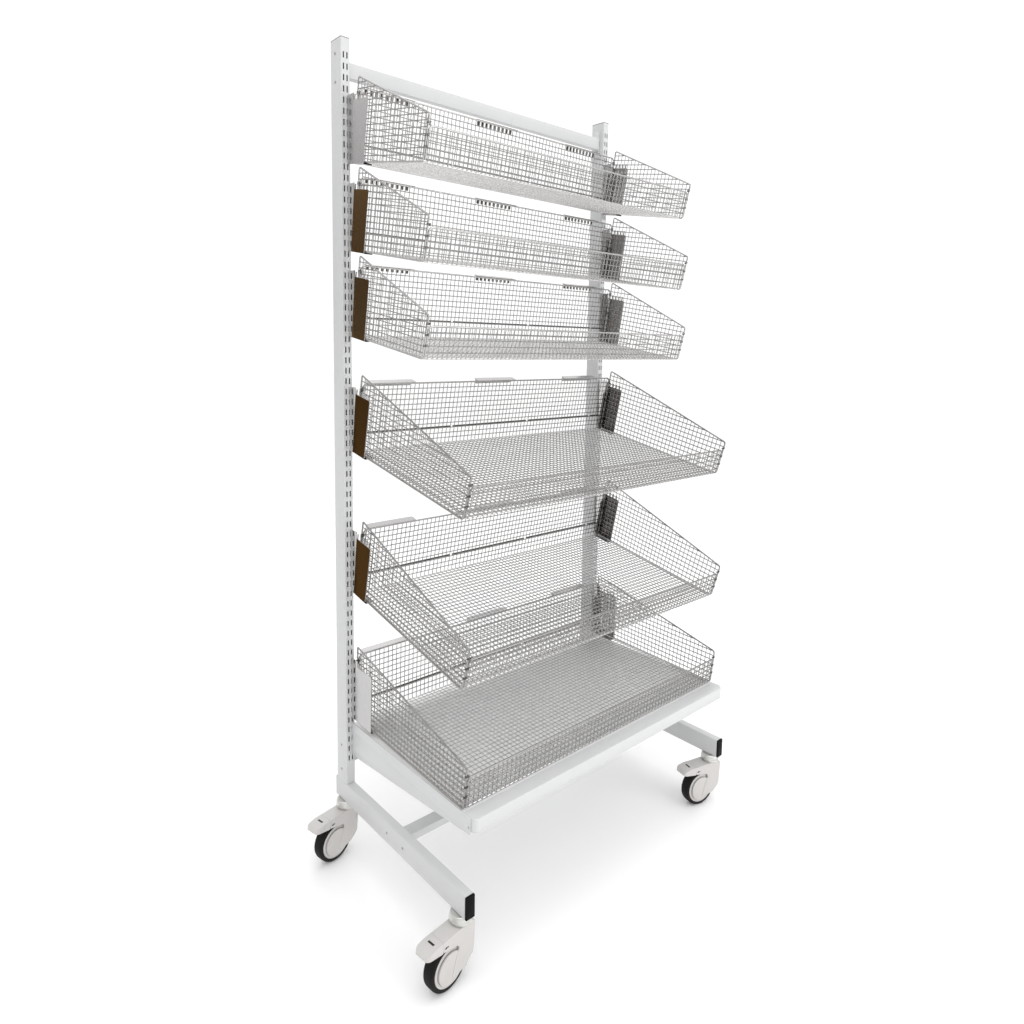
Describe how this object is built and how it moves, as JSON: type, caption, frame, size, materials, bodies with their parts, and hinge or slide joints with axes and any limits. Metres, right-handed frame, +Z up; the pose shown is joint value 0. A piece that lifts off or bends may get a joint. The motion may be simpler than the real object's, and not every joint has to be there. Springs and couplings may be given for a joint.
{
  "type": "wire basket display unit",
  "caption": "Mobile shop display rack: slotted white uprights on castored feet, a base shelf and tilted stainless wire baskets hung on hook-in brackets.",
  "frame": {"origin": "on the floor, midway between the outermost points in plan", "axes": "+Z up, -Y towards the customer's side where the baskets open, +X to the right seen from there"},
  "size_m": [1.0348, 0.5554, 2.0001],
  "materials": {
    "white_paint": "satin powder coat",
    "basket_wire": "bright drawn stainless wire",
    "bracket_steel": "polished stainless sheet",
    "black_plastic": "fine moulded grain",
    "pale_plastic": "smooth moulded",
    "caster_plastic": "satin moulded",
    "caster_steel": "zinc plated",
    "tyre_rubber": "matte tread"
  },
  "bodies": {
    "rack": {"base_shelf": "white_paint", "basket_1": "basket_wire", "basket_1_left_bracket": "bracket_steel", "basket_1_right_bracket": "bracket_steel", "basket_2": "basket_wire", "basket_2_left_bracket": "bracket_steel", "basket_2_right_bracket": "bracket_steel", "basket_3": "basket_wire", "basket_3_left_bracket": "bracket_steel", "basket_3_right_bracket": "bracket_steel", "basket_4": "basket_wire", "basket_4_left_bracket": "bracket_steel", "basket_4_right_bracket": "bracket_steel", "basket_5": "basket_wire", "basket_5_left_bracket": "bracket_steel", "basket_5_right_bracket": "bracket_steel", "basket_6": "basket_wire", "basket_6_left_bracket": "bracket_steel", "basket_6_right_bracket": "bracket_steel", "caster_front_left_stem": "caster_plastic", "caster_front_right_stem": "caster_plastic", "caster_rear_left_stem": "caster_plastic", "caster_rear_right_stem": "caster_plastic", "foot_crossbar": "white_paint", "left_foot": "white_paint", "left_foot_front_cap": "black_plastic", "left_foot_rear_cap": "pale_plastic", "left_shelf_arm": "white_paint", "left_upright": "white_paint", "left_upright_cap": "pale_plastic", "rear_crossbar": "white_paint", "right_foot": "white_paint", "right_foot_front_cap": "black_plastic", "right_foot_rear_cap": "pale_plastic", "right_shelf_arm": "white_paint", "right_upright": "white_paint", "right_upright_cap": "pale_plastic", "top_crossbar": "white_paint"},
    "front_left_fork": {"caster_front_left_housing": "caster_plastic", "caster_front_left_axle": "caster_steel"},
    "front_left_wheel": {"caster_front_left_hub": "caster_plastic", "caster_front_left_tyre": "tyre_rubber"},
    "front_left_pedal": {"caster_front_left_pedal": "caster_plastic"},
    "front_right_fork": {"caster_front_right_housing": "caster_plastic", "caster_front_right_axle": "caster_steel"},
    "front_right_wheel": {"caster_front_right_hub": "caster_plastic", "caster_front_right_tyre": "tyre_rubber"},
    "front_right_pedal": {"caster_front_right_pedal": "caster_plastic"},
    "rear_left_fork": {"caster_rear_left_housing": "caster_plastic", "caster_rear_left_axle": "caster_steel"},
    "rear_left_wheel": {"caster_rear_left_hub": "caster_plastic", "caster_rear_left_tyre": "tyre_rubber"},
    "rear_left_pedal": {"caster_rear_left_pedal": "caster_plastic"},
    "rear_right_fork": {"caster_rear_right_housing": "caster_plastic", "caster_rear_right_axle": "caster_steel"},
    "rear_right_wheel": {"caster_rear_right_hub": "caster_plastic", "caster_rear_right_tyre": "tyre_rubber"},
    "rear_right_pedal": {"caster_rear_right_pedal": "caster_plastic"}
  },
  "joints": [
    {"name": "front_left_swivel", "type": "hinge", "parent": "rack", "child": "front_left_fork", "pos_m": [-0.40634, -0.24175, 0.119], "axis": [0, 0, 1], "continuous": true},
    {"name": "front_left_roll", "type": "hinge", "parent": "front_left_fork", "child": "front_left_wheel", "pos_m": [-0.44902, -0.24699, 0.04957], "axis": [-0.1219, 0.9925, 0], "continuous": true},
    {"name": "front_left_brake", "type": "hinge", "parent": "front_left_fork", "child": "front_left_pedal", "pos_m": [-0.46788, -0.24931, 0.106], "axis": [0.1219, -0.9925, 0], "range_deg": [0, 12]},
    {"name": "front_right_swivel", "type": "hinge", "parent": "rack", "child": "front_right_fork", "pos_m": [0.49066, -0.24175, 0.119], "axis": [0, 0, 1], "continuous": true},
    {"name": "front_right_roll", "type": "hinge", "parent": "front_right_fork", "child": "front_right_wheel", "pos_m": [0.44894, -0.23135, 0.04957], "axis": [0.2419, 0.9703, 0], "continuous": true},
    {"name": "front_right_brake", "type": "hinge", "parent": "front_right_fork", "child": "front_right_pedal", "pos_m": [0.4305, -0.22675, 0.106], "axis": [-0.2419, -0.9703, 0], "range_deg": [0, 12]},
    {"name": "rear_left_swivel", "type": "hinge", "parent": "rack", "child": "rear_left_fork", "pos_m": [-0.40634, 0.24725, 0.119], "axis": [0, 0, 1], "continuous": true},
    {"name": "rear_left_roll", "type": "hinge", "parent": "rear_left_fork", "child": "rear_left_wheel", "pos_m": [-0.44848, 0.23868, 0.04957], "axis": [-0.1994, 0.9799, 0], "continuous": true},
    {"name": "rear_left_brake", "type": "hinge", "parent": "rear_left_fork", "child": "rear_left_pedal", "pos_m": [-0.4671, 0.23489, 0.106], "axis": [0.1994, -0.9799, 0], "range_deg": [0, 12]},
    {"name": "rear_right_swivel", "type": "hinge", "parent": "rack", "child": "rear_right_fork", "pos_m": [0.49066, 0.24725, 0.119], "axis": [0, 0, 1], "continuous": true},
    {"name": "rear_right_roll", "type": "hinge", "parent": "rear_right_fork", "child": "rear_right_wheel", "pos_m": [0.44772, 0.2495, 0.04957], "axis": [0.0523, 0.9986, 0], "continuous": true},
    {"name": "rear_right_brake", "type": "hinge", "parent": "rear_right_fork", "child": "rear_right_pedal", "pos_m": [0.42875, 0.25049, 0.106], "axis": [-0.0523, -0.9986, 0], "range_deg": [0, 12]}
  ]
}
